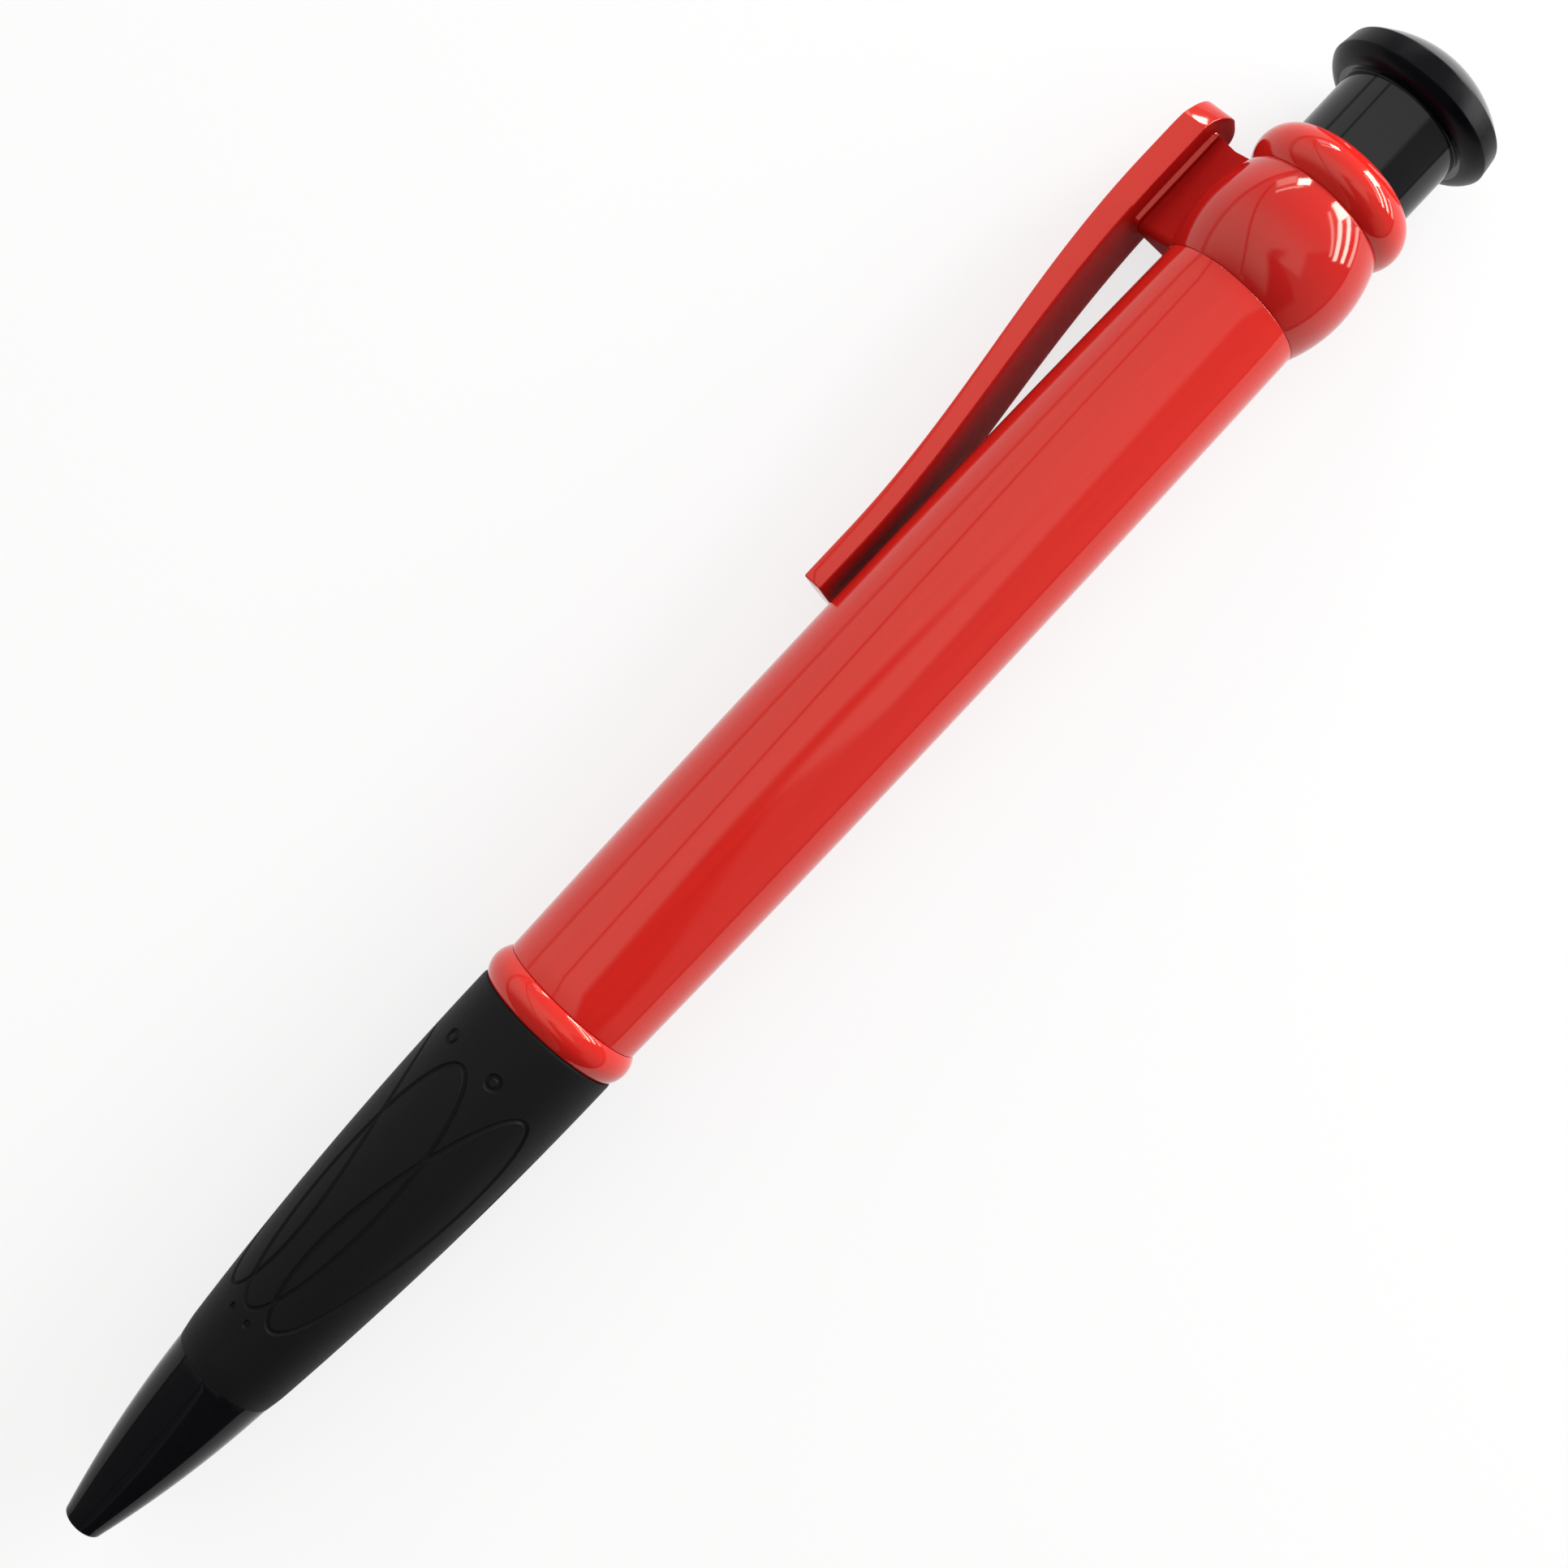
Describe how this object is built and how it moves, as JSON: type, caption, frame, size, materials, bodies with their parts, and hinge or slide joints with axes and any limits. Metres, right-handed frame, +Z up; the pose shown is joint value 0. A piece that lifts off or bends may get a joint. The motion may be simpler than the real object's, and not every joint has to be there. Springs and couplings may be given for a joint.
{
  "type": "novelty ballpoint pen",
  "caption": "Jumbo red and black click ballpoint pen with a rubber grip, curved pocket clip, domed push button and a working click cam and refill inside.",
  "frame": {"origin": "middle of the pen's length and width, on the table it lies on", "axes": "+X along the pen from the nose to the button, +Z up from the table, clip towards +Y"},
  "size_m": [0.2808, 0.037, 0.0274],
  "materials": {
    "red_plastic": "gloss",
    "gloss_black_plastic": "gloss",
    "grip_rubber": "matt",
    "core_plastic": "satin",
    "cam_plastic": "satin",
    "ink_tube_plastic": "translucent",
    "tip_brass": "satin",
    "spring_steel": "bright"
  },
  "bodies": {
    "housing": {"nose_cone": "gloss_black_plastic", "grip_sleeve": "grip_rubber", "front_core": "core_plastic", "collar_ring": "red_plastic", "barrel": "red_plastic", "knob": "red_plastic", "top_ring": "red_plastic", "cam_sleeve": "cam_plastic", "refill_guide": "cam_plastic"},
    "clip": {"clip": "red_plastic"},
    "button": {"button": "gloss_black_plastic", "cam_plunger": "cam_plastic"},
    "refill": {"cam_rotor": "cam_plastic", "thrust_tube": "cam_plastic", "refill_tail": "cam_plastic", "refill_tube": "ink_tube_plastic", "tip_holder": "cam_plastic", "refill_tip": "tip_brass", "spring_seat": "cam_plastic", "return_spring": "spring_steel"},
    "ball": {"writing_ball": "spring_steel"}
  },
  "joints": [
    {"name": "button_press", "type": "slide", "parent": "housing", "child": "button", "axis": [-1, 0, 0], "range_m": [0, 0.009], "stiffness_N_per_m": 550, "springref_m": -0.004},
    {"name": "refill_slide", "type": "slide", "parent": "housing", "child": "refill", "axis": [-1, 0, 0], "range_m": [0, 0.009], "deforming": ["return_spring"]},
    {"name": "clip_flex", "type": "hinge", "parent": "housing", "child": "clip", "pos_m": [0.11217, 0.01172, 0.00761], "axis": [0, -0.3462, -0.9382], "range_deg": [0, 3], "stiffness_Nm_per_rad": 1, "springref_deg": -1.15},
    {"name": "ball_roll", "type": "hinge", "parent": "refill", "child": "ball", "pos_m": [-0.13628, -0.00479, 0.0137], "axis": [0, 1, 0], "continuous": true}
  ],
  "couplings": [
    {"joint": "refill_slide", "follows": "button_press", "ratio": 1}
  ]
}
